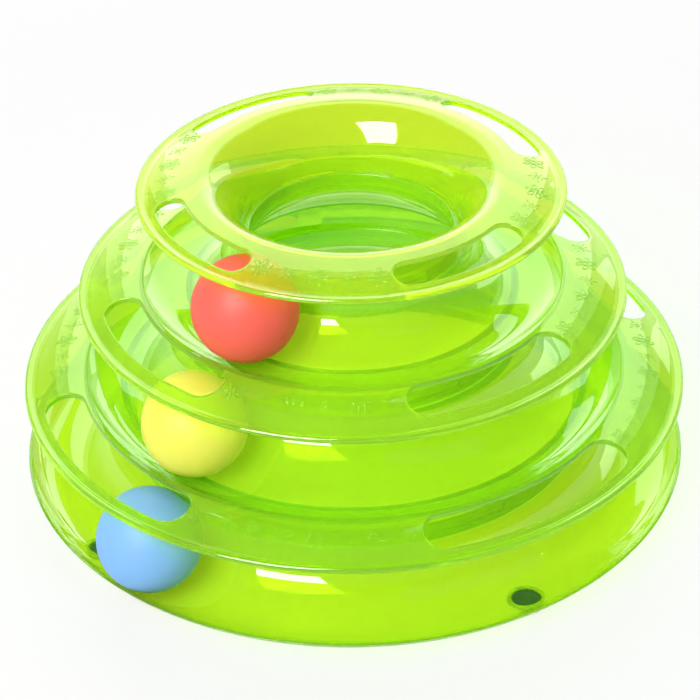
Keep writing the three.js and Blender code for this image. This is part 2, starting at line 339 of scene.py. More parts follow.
def window(value: float, low: float, high: float, soft: float) -> float:
    """How far a value lies inside a range.

    Args:
        value: The value.
        low: Lower end of the range.
        high: Upper end of the range.
        soft: Half the width of the ramp at each end.

    Returns:
        1 inside, 0 outside, and between them on the ramps.
    """
    up = (value - low + soft) / (2 * soft)
    down = (high - value + soft) / (2 * soft)
    return max(0.0, min(1.0, up, down))


def turn_between(degrees: float, centre: float) -> float:
    """The angle from a centre line, between -180 and 180 degrees."""
    return (degrees - centre + 180) % 360 - 180


def polar(radius: float, degrees: float, height: float) -> Vector:
    """A place given by radius, angle and height, in metres."""
    angle = math.radians(degrees)
    return Vector((radius * math.cos(angle), radius * math.sin(angle), height)) * MM


class Slot(Enum):
    """The record's material slots."""

    TRAY = "lime_plastic_tray"
    LOWER = "lime_plastic_lower"
    MIDDLE = "lime_plastic_middle"
    TOP = "lime_plastic_top"
    BLUE = "blue_plastic"
    YELLOW = "yellow_plastic"
    RED = "red_plastic"
    FOOT = "foot_rubber"


class Shade:
    """A node tree under construction."""

    def __init__(self, owner: bpy.types.Material | bpy.types.World) -> None:
        """Empties the tree of a material or a world.

        Args:
            owner: What the tree belongs to.
        """
        owner.use_nodes = True
        self.owner = owner
        self.tree = owner.node_tree
        self.tree.nodes.clear()

    @staticmethod
    def material(name: str) -> Shade:
        """Starts a new material."""
        return Shade(bpy.data.materials.new(name))

    def node(self, kind: str, **values: object) -> bpy.types.Node:
        """Adds a node.

        Args:
            kind: The node's type.
            values: Attributes of the node, or values of its inputs with blanks as underscores.

        Returns:
            The node.
        """
        node = self.tree.nodes.new(kind)
        for key, value in values.items():
            if hasattr(node, key):
                setattr(node, key, value)
                continue
            name = key.replace("_", " ")
            socket = next(entry for entry in node.inputs if entry.name == name and entry.enabled)
            if isinstance(value, bpy.types.NodeSocket):
                self.tree.links.new(value, socket)
            else:
                socket.default_value = value
        return node

    def link(self, source: bpy.types.NodeSocket, target: bpy.types.NodeSocket) -> None:
        """Joins two sockets."""
        self.tree.links.new(source, target)

    def noise(self, scale: float, detail: float = 2.0, roughness: float = 0.5) -> bpy.types.NodeSocket:
        """Noise in object space.

        Args:
            scale: Waves in a metre.
            detail: Number of finer layers.
            roughness: Strength of the finer layers.

        Returns:
            The noise from 0 to 1.
        """
        place = self.node("ShaderNodeTexCoord").outputs["Object"]
        node = self.node("ShaderNodeTexNoise", Vector=place, Scale=scale, Detail=detail, Roughness=roughness)
        return node.outputs["Fac"]

    def between(self, value: bpy.types.NodeSocket, low: float, high: float) -> bpy.types.NodeSocket:
        """Maps a value from 0 to 1 onto a range."""
        node = self.node("ShaderNodeMapRange", Value=value, To_Min=low, To_Max=high)
        return node.outputs["Result"]

    def blend(self, share: bpy.types.NodeSocket, first: Colour, second: Colour) -> bpy.types.NodeSocket:
        """Mixes two colours.

        Args:
            share: How much of the second one, from 0 to 1.
            first: The first colour.
            second: The second colour.

        Returns:
            The mixed colour.
        """
        node = self.node("ShaderNodeValToRGB", Fac=share)
        node.color_ramp.elements[0].color = (*first, 1)
        node.color_ramp.elements[1].color = (*second, 1)
        return node.outputs["Color"]

    def bump(self, height: bpy.types.NodeSocket, distance: float) -> bpy.types.NodeSocket:
        """Turns a height from 0 to 1 into a bent normal, 1 standing for a distance in metres."""
        return self.node("ShaderNodeBump", Height=height, Distance=distance, Strength=1.0).outputs["Normal"]

    def finish(
        self, surface: bpy.types.NodeSocket, inside: bpy.types.NodeSocket | None = None
    ) -> bpy.types.Material:
        """Joins the shaders to the output.

        Args:
            surface: The shader of the skin.
            inside: The shader of what lies under it, if that shows.

        Returns:
            The material.
        """
        output = self.node("ShaderNodeOutputMaterial")
        self.link(surface, output.inputs["Surface"])
        if inside:
            self.link(inside, output.inputs["Volume"])
        return self.owner


@dataclass(frozen=True)
class ClearPlastic:
    """Tinted clear plastic from a polished mould, with faint flow marks."""

    name: str
    tint: Colour
    deep_tint: Colour
    clearness: float = 0.7
    soak: Colour = (0.05, 0.012, 0.5)
    shadow_tint: Colour = (0.84, 0.96, 0.45)
    glint: Colour = (1.0, 1.0, 0.94)
    refraction: float = 1.47
    polish: Point = (0.012, 0.045)
    wave_depth: float = 0.00006

    def material(self) -> bpy.types.Material:
        """Builds the material.

        Returns:
            A clear tinted material whose shadow lets tinted lamp light through.
        """
        shade = Shade.material(self.name)
        flow = shade.noise(scale=9.0, detail=3.0)
        waves = shade.noise(scale=34.0, detail=1.0)
        haze = shade.noise(scale=160.0, detail=3.0)
        body = shade.node(
            "ShaderNodeBsdfPrincipled",
            Base_Color=shade.blend(flow, self.tint, self.deep_tint),
            Roughness=shade.between(haze, *self.polish),
            Transmission_Weight=self.clearness,
            IOR=self.refraction,
            Specular_Tint=(*self.glint, 1),
            Normal=shade.bump(waves, distance=self.wave_depth),
        )
        passing = shade.node("ShaderNodeBsdfTransparent", Color=(*self.shadow_tint, 1))
        path = shade.node("ShaderNodeLightPath")
        mix = shade.node("ShaderNodeMixShader")
        shade.link(path.outputs["Is Shadow Ray"], mix.inputs[0])
        shade.link(body.outputs["BSDF"], mix.inputs[1])
        shade.link(passing.outputs["BSDF"], mix.inputs[2])
        return shade.finish(mix.outputs["Shader"], self.depth(shade))

    def depth(self, shade: Shade) -> bpy.types.NodeSocket:
        """Builds the colour that deepens with the thickness of the wall.

        Args:
            shade: The material's tree.

        Returns:
            The shader of the inside.
        """
        density = max(self.soak) / MM
        colour = (*(1 - share / max(self.soak) for share in self.soak), 1)
        return shade.node("ShaderNodeVolumeAbsorption", Color=colour, Density=density).outputs["Volume"]


@dataclass(frozen=True)
class MattePlastic:
    """Coloured plastic with a fine eroded skin, as on a blow-moulded ball."""

    name: str
    colour: Colour
    deep_colour: Colour
    grain: float = 1900.0
    grain_depth: float = 0.00003
    roughness: Point = (0.46, 0.6)
    refraction: float = 1.45
    gloss: float = 0.35

    def material(self) -> bpy.types.Material:
        """Builds the material.

        Returns:
            A matte material with fine grain and slow colour drift.
        """
        shade = Shade.material(self.name)
        drift = shade.noise(scale=40.0, detail=3.0)
        grain = shade.noise(scale=self.grain, detail=2.0)
        body = shade.node(
            "ShaderNodeBsdfPrincipled",
            Base_Color=shade.blend(drift, self.colour, self.deep_colour),
            Roughness=shade.between(grain, *self.roughness),
            IOR=self.refraction,
            Specular_IOR_Level=self.gloss,
            Normal=shade.bump(grain, distance=self.grain_depth),
        )
        return shade.finish(body.outputs["BSDF"])


@dataclass(frozen=True)
class FootRubber:
    """Soft green rubber, flecked along its grain between a darker and a paler green."""

    name: str = "foot_rubber_soft"
    thick: Colour = (0.008, 0.06, 0.002)
    thin: Colour = (0.03, 0.14, 0.005)
    grain: float = 900.0
    grain_depth: float = 0.00006
    roughness: Point = (0.5, 0.75)

    def material(self) -> bpy.types.Material:
        """Builds the material.

        Returns:
            A dull material with specks of mould grain.
        """
        shade = Shade.material(self.name)
        grain = shade.noise(scale=self.grain, detail=4.0)
        body = shade.node(
            "ShaderNodeBsdfPrincipled",
            Base_Color=shade.blend(grain, self.thick, self.thin),
            Roughness=shade.between(grain, *self.roughness),
            Normal=shade.bump(grain, distance=self.grain_depth),
        )
        return shade.finish(body.outputs["BSDF"])


def piece_from(name: str, vertices: list[Vector], faces: list[tuple[int, ...]]) -> bpy.types.Object:
    """Makes an object from vertices and faces, with its faces pointing out.

    Args:
        name: The piece's name.
        vertices: Places in metres.
        faces: Loops of vertex numbers.

    Returns:
        The object, linked to the scene and shaded smooth.
    """
    mesh = bpy.data.meshes.new(name)
    mesh.from_pydata(vertices, [], faces)
    work = bmesh.new()
    work.from_mesh(mesh)
    bmesh.ops.recalc_face_normals(work, faces=work.faces)
    work.to_mesh(mesh)
    work.free()
    mesh.shade_smooth()
    piece = bpy.data.objects.new(name, mesh)
    bpy.context.scene.collection.objects.link(piece)
    return piece


def level_normals(piece: bpy.types.Object) -> None:
    """Lets the broad faces of a piece set its shading, so that its small roundings stay crisp.

    Args:
        piece: The piece.
    """
    modifier = piece.modifiers.new("broad_faces", "WEIGHTED_NORMAL")
    modifier.weight = BROAD_FACE_WEIGHT
    modifier.keep_sharp = False


def place(
    piece: bpy.types.Object, finish: bpy.types.Material, slot: Slot, body: str, nodes: list[str]
) -> bpy.types.Object:
    """Dresses a piece and joins it to the frame.

    Args:
        piece: The piece.
        finish: Its material.
        slot: Not used.
        body: The moving body that carries it.
        nodes: The frame's nodes that it stands for.

    Returns:
        The piece.
    """
    piece.data.materials.clear()
    piece.data.materials.append(finish)
    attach(piece, body)
    if nodes:
        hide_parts(*nodes)
    LOG.info("%s: %d faces on %s", piece.name, len(piece.data.polygons), body)
    return piece


class Side(IntEnum):
    """The four sides of an opening, in the order in which its edge is walked."""

    INNER = 0
    FAR = 1
    OUTER = 2
    NEAR = 3


@dataclass(frozen=True)
class Opening:
    """A hole with round ends through a pair of facing row bands.

    The rings run from the band where the hole starts to the band where it ends. Each has an outward
    distance from the hole's nominal edge and a height rule that takes the radius.
    """

    centre: float
    zone_half: float
    middle: float
    half: float
    reach: float
    rings: tuple[tuple[float, Callable[[float], float]], ...]

    def edge_point(self, outward: float, side: Side, share: float) -> Point:
        """A point on the hole's edge.

        Args:
            outward: Distance out from the nominal edge.
            side: The side that it is on.
            share: How far along that side, from 0 to 1.

        Returns:
            Radius and angle in degrees.
        """
        size = self.half + outward
        corner = math.pi / 4
        straight = 2 * math.radians(self.reach) * self.middle
        along = size * corner
        total = straight + 2 * along
        turn = -corner + 2 * corner * share
        if side is Side.FAR:
            return self.end_point(1, size, turn)
        if side is Side.NEAR:
            return self.end_point(-1, size, -turn)
        walked, sign = share * total, -1
        if side is Side.OUTER:
            walked, sign = total - walked, 1
        if walked < along:
            return self.end_point(-1, size, sign * (corner + walked / size))
        if walked > total - along:
            return self.end_point(1, size, sign * (corner + (total - walked) / size))
        passed = (walked - along) / straight if straight > 0 else 0.5
        return self.middle + sign * size, self.centre - self.reach + 2 * self.reach * passed

    def end_point(self, end: int, size: float, angle: float) -> Point:
        """A point on a round end.

        Args:
            end: 1 for the far end, -1 for the near one.
            size: Radius of the end.
            angle: From the direction away from the hole's middle, towards the outer side.

        Returns:
            Radius and angle in degrees.
        """
        x = self.middle + size * math.sin(angle)
        y = end * size * math.cos(angle)
        radius = math.hypot(x, y)
        return radius, self.centre + end * self.reach + math.degrees(math.atan2(y, x))


@dataclass(frozen=True)
class Lugs:
    """Four lugs that stand out of a spigot's outer face."""

    joint: int

    def half(self) -> float:
        """Half the angle of a lug."""
        return math.degrees(SIZES.lug_width / 2 / SIZES.spigot(self.joint))

    def edges(self) -> list[float]:
        """Angles of the lugs' sides."""
        return [centre + offset for centre in SIZES.slot_degrees() for offset in (-self.half(), self.half())]

    def shift(self, radius: float, height: float, degrees: float) -> float:
        """Tells how far a point of the plain turned spigot moves outward for a lug.

        Args:
            radius: The point's distance from the axis.
            height: Its height.
            degrees: Its angle.

        Returns:
            The shift, 0 away from the outer face.
        """
        if abs(radius - SIZES.spigot(self.joint)) > FACE_REACH:
            return 0.0
        top = SIZES.lug_top(self.joint)
        share = window(height, top - SIZES.lug_height, top, SIZES.lock_ease)
        near = max(
            window(turn_between(degrees, centre), -self.half(), self.half(), SIZES.lock_side_ease_degrees)
            for centre in SIZES.slot_degrees()
        )
        return (SIZES.lug_proud + SIZES.fit_gap) * share * near


@dataclass(frozen=True)
class Grooves:
    """Four L-shaped grooves in a collar's inner face, in which the lugs turn."""

    joint: int

    def half(self) -> float:
        """Half the angle that a groove takes for one lug."""
        return math.degrees((SIZES.lug_width / 2 + SIZES.groove_spare) / SIZES.spigot(self.joint))

    def edges(self) -> list[float]:
        """Angles of the grooves' steep sides.

        Returns:
            Three angles for each groove.
        """
        half, twist = self.half(), SIZES.twist_degrees
        offsets = (-twist - half, half - twist, half)
        return [centre + offset for centre in SIZES.slot_degrees() for offset in offsets]

    def shift(self, radius: float, height: float, degrees: float) -> float:
        """Tells how far a point of the plain turned collar moves outward for a groove.

        Args:
            radius: The point's distance from the axis.
            height: Its height.
            degrees: Its angle.

        Returns:
            The shift, 0 away from the inner face.
        """
        inside = SIZES.neck(self.joint) - SIZES.collar_wall
        low, top = groove_heights(self.joint)
        bottom = SIZES.shoulder(self.joint)
        if radius > inside + SIZES.collar_ease or height > top + 1 or height < bottom:
            return 0.0
        half, twist, side = self.half(), SIZES.twist_degrees, SIZES.lock_side_ease_degrees
        share = 0.0
        for centre in SIZES.slot_degrees():
            turn = turn_between(degrees, centre)
            run = window(turn, -twist - half, half, side)
            entry = window(turn, -twist - half, half - twist, side)
            share = max(share, run * window(height, low, top, SIZES.lock_ease))
            share = max(share, entry * window(height, bottom - 1, top, SIZES.lock_ease))
        return (SIZES.lug_proud + SIZES.groove_spare) * share


def groove_heights(joint: int) -> Point:
    """Lower and upper height of the run of a collar's grooves."""
    top = SIZES.lug_top(joint)
    return top - SIZES.lug_height - SIZES.groove_spare, top + SIZES.groove_spare


class Moulding:
    """A turned moulding: rows of a closed outline by columns round the axis, with openings let in."""

    COLUMNS = 192
    BLEND_LOOPS = 4
    BLEND_POWER = 1.3
    ANGLE_DIGITS = 4

    def __init__(self, first_column: float, features: list[Lugs | Grooves]) -> None:
        """Lays out the columns.

        Args:
            first_column: Angle of one of the evenly spaced columns.
            features: Parts of the twist locks on it, whose steep sides each get a pair of columns.
        """
        angles = [first_column + i * 360 / self.COLUMNS for i in range(self.COLUMNS)]
        for edge in (edge for feature in features for edge in feature.edges()):
            angles += [edge - SIZES.lock_side_ease_degrees, edge + SIZES.lock_side_ease_degrees]
        self.angles = sorted({round(angle % 360, self.ANGLE_DIGITS) for angle in angles})
        self.features = features
        self.rows: Line = []
        self.vertices: list[Vector] = []
        self.faces: list[tuple[int, ...]] = []
        self.numbers: dict[tuple[int, int], int] = {}

    def add(self, radius: float, degrees: float, height: float) -> int:
        """Adds a vertex and gives its number."""
        self.vertices.append(polar(radius, degrees, height))
        return len(self.vertices) - 1

    def number(self, row: int, column: int) -> int:
        """Gives the vertex where a row crosses a column, and makes it when it is first asked for.

        Args:
            row: Number of the row, counted on past the last one where it wraps.
            column: Number of the column, likewise.

        Returns:
            The vertex's number.
        """
        key = (row % len(self.rows), column % len(self.angles))
        if key not in self.numbers:
            radius, height = self.rows[key[0]]
            degrees = self.angles[key[1]]
            radius += sum(feature.shift(radius, height, degrees) for feature in self.features)
            self.numbers[key] = self.add(radius, degrees, height)
        return self.numbers[key]

    def zone(self, opening: Opening) -> list[int]:
        """Finds the columns that an opening's zone covers.

        Args:
            opening: The hole.

        Returns:
            The columns in order of angle.
        """
        inside = []
        for column, angle in enumerate(self.angles):
            turn = turn_between(angle, opening.centre)
            if abs(turn) <= opening.zone_half + 1e-3:
                inside.append((turn, column))
        return [column for _, column in sorted(inside)]

    def fill(self, openings: list[Opening], first: Band, second: Band) -> None:
        """Makes every face of the moulding.

        Args:
            openings: The holes through it.
            first: First and last row of the band where the holes start.
            second: First and last row of the facing band.
        """
        skipped = set()
        for opening in openings:
            columns = self.zone(opening)
            for low, high in (first, second):
                skipped.update((row, column) for row in range(low, high) for column in columns[:-1])
            self.pierce(opening, columns, first, second)
        for row in range(len(self.rows)):
            for column in range(len(self.angles)):
                if (row, column) not in skipped:
                    self.faces.append((
                        self.number(row, column),
                        self.number(row, column + 1),
                        self.number(row + 1, column + 1),
                        self.number(row + 1, column),
                    ))

    def frame_of(self, columns: list[int], band: Band) -> list[int]:
        """Lists the vertices round an opening's zone.

        Args:
            columns: The zone's columns.
            band: The zone's rows.

        Returns:
            The vertices from the near inner corner by the inner side and round.
        """
        low, high = band
        inner, outer = (low, high) if self.rows[low][0] < self.rows[high][0] else (high, low)
        step = 1 if outer > inner else -1
        loop = [self.number(inner, column) for column in columns[:-1]]
        loop += [self.number(row, columns[-1]) for row in range(inner, outer, step)]
        loop += [self.number(outer, column) for column in reversed(columns[1:])]
        loop += [self.number(row, columns[0]) for row in range(outer, inner, -step)]
        return loop

    def shares(self, opening: Opening, columns: list[int], rows: int) -> list[tuple[Side, float]]:
        """Tells where on its side each vertex round an opening's zone lies.

        Args:
            opening: The hole.
            columns: The zone's columns.
            rows: Number of rows across the zone.

        Returns:
            Side and share along it, in the order of frame_of.
        """
        turns = [turn_between(self.angles[column], opening.centre) for column in columns]
        along = [(turn - turns[0]) / (turns[-1] - turns[0]) for turn in turns]
        result = [(Side.INNER, share) for share in along[:-1]]
        result += [(Side.FAR, i / rows) for i in range(rows)]
        result += [(Side.OUTER, 1 - share) for share in reversed(along[1:])]
        result += [(Side.NEAR, i / rows) for i in range(rows)]
        return result

    def pierce(self, opening: Opening, columns: list[int], first: Band, second: Band) -> None:
        """Fills an opening's zone on both bands and joins them through the hole.

        Args:
            opening: The hole.
            columns: The columns of its zone.
            first: Rows of the band where the hole starts.
            second: Rows of the facing band.
        """
        shares = self.shares(opening, columns, first[1] - first[0])
        loops = [self.frame_of(columns, first)]
        loops += self.blend_loops(opening, shares, loops[0], opening.rings[0])
        for outward, height in opening.rings:
            loops.append(self.edge_loop(opening, shares, outward, height))
        closing = self.frame_of(columns, second)
        loops += reversed(self.blend_loops(opening, shares, closing, opening.rings[-1]))
        loops.append(closing)
        count = len(shares)
        for above, below in zip(loops, loops[1:]):
            for i in range(count):
                after = (i + 1) % count
                self.faces.append((above[i], above[after], below[after], below[i]))

    def edge_loop(
        self,
        opening: Opening,
        shares: list[tuple[Side, float]],
        outward: float,
        height: Callable[[float], float],
    ) -> list[int]:
        """Makes one loop of vertices inside or round a hole.

        Args:
            opening: The hole.
            shares: Side and share of each vertex.
            outward: Distance from the hole's nominal edge.
            height: The loop's height at a radius.

        Returns:
            The vertices.
        """
        loop = []
        for side, share in shares:
            radius, degrees = opening.edge_point(outward, side, share)
            loop.append(self.add(radius, degrees, height(radius)))
        return loop

    def blend_loops(
        self,
        opening: Opening,
        shares: list[tuple[Side, float]],
        outer: list[int],
        ring: tuple[float, Callable[[float], float]],
    ) -> list[list[int]]:
        """Loops between an opening's zone and its first ring, on the surface.

        Args:
            opening: The hole.
            shares: Side and share of each vertex.
            outer: The vertices round the zone.
            ring: The ring that the loops lead to.

        Returns:
            The loops, from the zone's edge to the ring.
        """
        outward, height = ring
        loops = []
        for step in range(self.BLEND_LOOPS, 0, -1):
            part = (step / (self.BLEND_LOOPS + 1)) ** self.BLEND_POWER
            loop = []
            for (side, share), number in zip(shares, outer):
                radius, degrees = opening.edge_point(outward, side, share)
                corner = self.vertices[number] / MM
                far_radius = math.hypot(corner.x, corner.y)
                far_turn = turn_between(math.degrees(math.atan2(corner.y, corner.x)), degrees)
                mixed = radius + (far_radius - radius) * part
                loop.append(self.add(mixed, degrees + far_turn * part, height(mixed)))
            loops.append(loop)
        return loops

    def piece(self, name: str) -> bpy.types.Object:
        """Makes the object.

        Args:
            name: The piece's name.

        Returns:
            The object, with its broad faces shaded flat.
        """
        piece = piece_from(name, self.vertices, self.faces)
        level_normals(piece)
        return piece


def soft_steps(*edges: float) -> list[float]:
    """Heights just below and just above each edge, in order."""
    return sorted(edge + offset for edge in edges for offset in (-SIZES.lock_ease, SIZES.lock_ease))


def flare_line(tier: int, steps: int = 20) -> Line:
    """Draws a trough's inner wall: a quarter ellipse from the shoulder down to the lowest line.

    Args:
        tier: Which trough, counted from the base.
        steps: Number of intervals.

    Returns:
        Radius and height of its points.
    """
    across = SIZES.trough_radius[tier] - SIZES.neck(tier)
    line = []
    for angle in spread(0, math.pi / 2, steps):
        radius = SIZES.trough_radius[tier] - across * math.cos(angle)
        line.append((radius, SIZES.shoulder(tier) - SIZES.flare_height[tier] * math.sin(angle)))
    return line


def roof_height(tier: int, radius: float) -> float:
    """Works out the height of a roof's upper face.

    Args:
        tier: Which roof, counted from the base.
        radius: Where, from the axis.

    Returns:
        The height there.
    """
    inner, outer = SIZES.roof_top(tier), SIZES.roof_foot(tier)
    share = (radius - inner) / (outer - inner)
    drop = SIZES.roof_rise[tier] * (outer - inner) / (SIZES.rim(tier) - inner)
    return SIZES.lip_height(tier) - drop * share + 4 * SIZES.roof_bulge * share * (1 - share)


def roof_line(tier: int, steps: int = 24) -> Line:
    """A roof's upper face from its lip or crest out to the foot of the bead."""
    radii = spread(SIZES.roof_top(tier), SIZES.roof_foot(tier), steps)
    return [(radius, roof_height(tier, radius)) for radius in radii]


def bead_line(tier: int, steps: int = 14) -> Line:
    """Draws the rolled bead round a rim.

    Args:
        tier: Which rim, counted from the base.
        steps: Number of intervals.

    Returns:
        Its points from the upper inside over the edge to the lower inside.
    """
    middle = SIZES.rim(tier) - SIZES.bead_radius
    line = []
    for degrees in spread(SIZES.bead_turn_degrees, -SIZES.bead_turn_degrees, steps):
        angle = math.radians(degrees)
        radius = middle + SIZES.bead_radius * math.cos(angle)
        line.append((radius, SIZES.rim_height(tier) + SIZES.bead_radius * math.sin(angle)))
    return line


def spigot_line(tier: int) -> list[Corner]:
    """Draws a spigot.

    Args:
        tier: Which neck it stands on, counted from the base.

    Returns:
        Its corners from the foot of the inner face, over the top, to the edge of the shoulder.
    """
    outside = SIZES.spigot(tier)
    inside = outside - SIZES.spigot_wall
    foot = SIZES.shoulder(tier)
    top = foot + SIZES.spigot_rise
    lug_top = SIZES.lug_top(tier)
    side = [(outside, z, 0.0) for z in reversed(soft_steps(lug_top - SIZES.lug_height, lug_top))]
    return [
        (inside, foot - SIZES.wall, SIZES.spigot_root_ease),
        (inside, foot + SIZES.spigot_root, 0.0),
        (inside, top, SIZES.edge_ease),
        (outside, top, SIZES.edge_ease),
        *side,
        (outside, foot, SIZES.spigot_foot_ease),
    ]


def collar_line(joint: int, outer_top: float, inner_top: float) -> list[Corner]:
    """Draws a collar.

    Args:
        joint: Which neck it sits on, counted from the base.
        outer_top: Height at which its outer face ends.
        inner_top: Height at which its inner face ends.

    Returns:
        Its corners from the top of the outer face, round the foot, to the top of the inner face.
    """
    outside = SIZES.neck(joint)
    inside = outside - SIZES.collar_wall
    bottom = SIZES.shoulder(joint) + SIZES.fit_gap
    highest = inner_top - SIZES.collar_side_room
    side = [(inside, z, 0.0) for z in soft_steps(*groove_heights(joint)) if z < highest]
    return [
        (outside, outer_top, SIZES.collar_root_ease),
        (outside, bottom, SIZES.collar_ease),
        (inside, bottom, SIZES.collar_inner_ease),
        *side,
        (inside, inner_top, SIZES.collar_ceiling_ease),
    ]


@dataclass
class RoofedMoulding:
    """A moulding with a slotted roof: one of the two levels with a trough, or the top."""

    name: str
    node: str
    body: str
    roof: int
    slot: Slot
    band_rows: int = 8
    band_inner_margin: float = 0.5
    slot_zone_half: float = 26.25
    slot_ease: float = 0.35
    rows: Line = field(default_factory=list)

    def slot_shape(self) -> tuple[float, float, float]:
        """Works out the shape of the roof's paw slots.

        Returns:
            Middle radius, half width and half reach in degrees.
        """
        inner, outer = SIZES.slot_edges(self.roof)
        middle, half = (outer + inner) / 2, (outer - inner) / 2
        reach = SIZES.slot_span_degrees / 2 - math.degrees(math.asin(half / middle))
        return middle, half, reach

    def openings(self, upper: Line, under: Line) -> list[Opening]:
        """The paw slots, with rounded edges above and below.

        Args:
            upper: The roof's upper face.
            under: Its lower face.

        Returns:
            One opening for each slot.
        """
        middle, half, reach = self.slot_shape()
        ease = self.slot_ease
        rings = []
        for angle in spread(0, math.pi / 2, 3):
            drop = ease * (1 - math.cos(angle))
            rings.append((ease * (1 - math.sin(angle)), lambda r, d=drop: height_on(upper, r) - d))
        for angle in spread(math.pi / 2, 0, 3):
            lift = ease * (1 - math.cos(angle))
            rings.append((ease * (1 - math.sin(angle)), lambda r, d=lift: height_on(under, r) + d))
        return [
            Opening(centre, self.slot_zone_half, middle, half, reach, tuple(rings))
            for centre in SIZES.slot_degrees()
        ]

    def band_start(self) -> float:
        """Radius at which the band that holds the slots starts."""
        return SIZES.roof_top(self.roof) + self.band_inner_margin

    def outline(self, upper: Line, under: Line, inner_side: Line) -> tuple[Band, Band]:
        """Puts the closed outline together.

        Args:
            upper: The roof's upper face.
            under: Its lower face.
            inner_side: From the band's lower inner end, round the inside, to its upper inner end.

        Returns:
            The rows of the upper and of the lower band.
        """
        radii = spread(self.band_start(), SIZES.roof_foot(self.roof), self.band_rows)
        self.rows = [(radius, height_on(upper, radius)) for radius in radii]
        first = (0, self.band_rows)
        under_foot = (radii[-1], height_on(under, radii[-1]), 0.0)
        self.rows += eased([(*self.rows[-1], 0.0), *plain(bead_line(self.roof)), under_foot])[1:-1]
        second = (len(self.rows), len(self.rows) + self.band_rows)
        self.rows += [(radius, height_on(under, radius)) for radius in reversed(radii)]
        self.rows += inner_side
        return first, second

    def build(self, moulding: Moulding, upper: Line, under: Line, inner_side: Line) -> bpy.types.Object:
        """Builds the moulding's mesh.

        Args:
            moulding: The moulding with its columns laid out.
            upper: The roof's upper face.
            under: Its lower face.
            inner_side: The rest of the outline.

        Returns:
            The piece.
        """
        first, second = self.outline(upper, under, inner_side)
        moulding.rows = self.rows
        moulding.fill(self.openings(upper, under), first, second)
        return moulding.piece(self.name)

    def first_column(self) -> float:
        """Angle of a column at the edge of a slot's zone."""
        return SIZES.slot_first_degrees - self.slot_zone_half


@dataclass
class Level(RoofedMoulding):
    """A level in one moulding: roof, lip, trough, flare and spigot, and the collar under it."""

    lip_ease: float = 0.25
    lip_edge_ease: float = 0.15
    lip_foot_ease: float = 0.3
    lip_under_ease: float = 0.4
    lip_room: float = 1.5
    collar_room: float = 1.0
    neck_room: float = 0.8
    rise_steps: int = 10

    def make(self) -> bpy.types.Object:
        """Builds the level.

        Returns:
            The piece.
        """
        tier = self.roof + 1
        lip, lip_radius = SIZES.lip_height(self.roof), SIZES.roof_top(self.roof)
        flare = flare_line(tier)
        foot = (lip_radius - SIZES.lip_width, lip - SIZES.lip_step)
        floor = flare + rising_arc(flare[-1], foot, self.rise_steps)
        upper = roof_line(self.roof)
        under = beside(upper, SIZES.wall)
        trough, blend = SIZES.trough_radius[tier], SIZES.shoulder(tier) - SIZES.neck_blend
        floor_under = [p for p in beside(floor, SIZES.wall) if p[1] < blend or p[0] > trough]
        corner = (lip_radius, lip - SIZES.lip_step - SIZES.wall)
        outside = SIZES.neck(self.roof)
        inside = outside - SIZES.collar_wall
        first, last = outside + self.collar_room, lip_radius - self.lip_room
        outer_under = [p for p in floor_under if first < p[0] < last]
        inner_under = [p for p in floor_under if p[0] < inside - self.neck_room]
        start = self.band_start()
        inner_side = eased([
            (start, height_on(under, start), 0.0),
            (*corner, self.lip_under_ease),
            *plain(list(reversed(outer_under))),
            *collar_line(self.roof, height_on(floor_under, outside), height_on(floor_under, inside)),
            *plain(list(reversed(inner_under))),
            *spigot_line(tier),
            (SIZES.neck(tier), SIZES.shoulder(tier), SIZES.edge_ease),
            *plain(floor[1:-1]),
            (*foot, self.lip_foot_ease),
            (lip_radius - SIZES.lip_width / 2, lip, self.lip_ease),
            (lip_radius, lip, self.lip_edge_ease),
            (start, height_on(upper, start), 0.0),
        ])[1:-1]
        moulding = Moulding(self.first_column(), [Lugs(tier), Grooves(self.roof)])
        return self.build(moulding, upper, under, inner_side)


@dataclass
class Top(RoofedMoulding):
    """The top level: roof, crest and funnel down to its collar."""

    band_inner_margin: float = 1.5
    funnel_steps: int = 26
    band_room: float = 0.3
    collar_room: float = 0.4

    def make(self) -> bpy.types.Object:
        """Builds the top level.

        Returns:
            The piece.
        """
        joint = self.roof
        inside = SIZES.neck(joint) - SIZES.collar_wall
        neck_top = SIZES.shoulder(joint) + SIZES.spigot_rise + SIZES.funnel_foot
        across = SIZES.crest_radius - inside
        drop = SIZES.lip_height(joint) - neck_top
        crest_power, foot_power = 2 / SIZES.funnel_crest_power, 2 / SIZES.funnel_foot_power
        funnel = []
        for angle in spread(0, math.pi / 2, self.funnel_steps)[:-1]:
            radius = SIZES.crest_radius - across * math.cos(angle) ** crest_power
            funnel.append((radius, neck_top + drop * math.sin(angle) ** foot_power))
        upper = roof_line(joint)
        whole = funnel + upper
        under = beside(whole, SIZES.wall)
        start = self.band_start()
        outside = SIZES.neck(joint)
        skirt = [p for p in under if outside + self.collar_room < p[0] < start - self.band_room]
        bottom = collar_line(joint, neck_top, neck_top)
        inner_side = eased([
            (start, height_on(under, start), 0.0),
            *plain(list(reversed(skirt))),
            *bottom[:-1],
            *plain([p for p in whole if p[0] < start - self.band_room]),
            (start, height_on(upper, start), 0.0),
        ])[1:-1]
        moulding = Moulding(self.first_column(), [Grooves(joint)])
        return self.build(moulding, upper, under, inner_side)


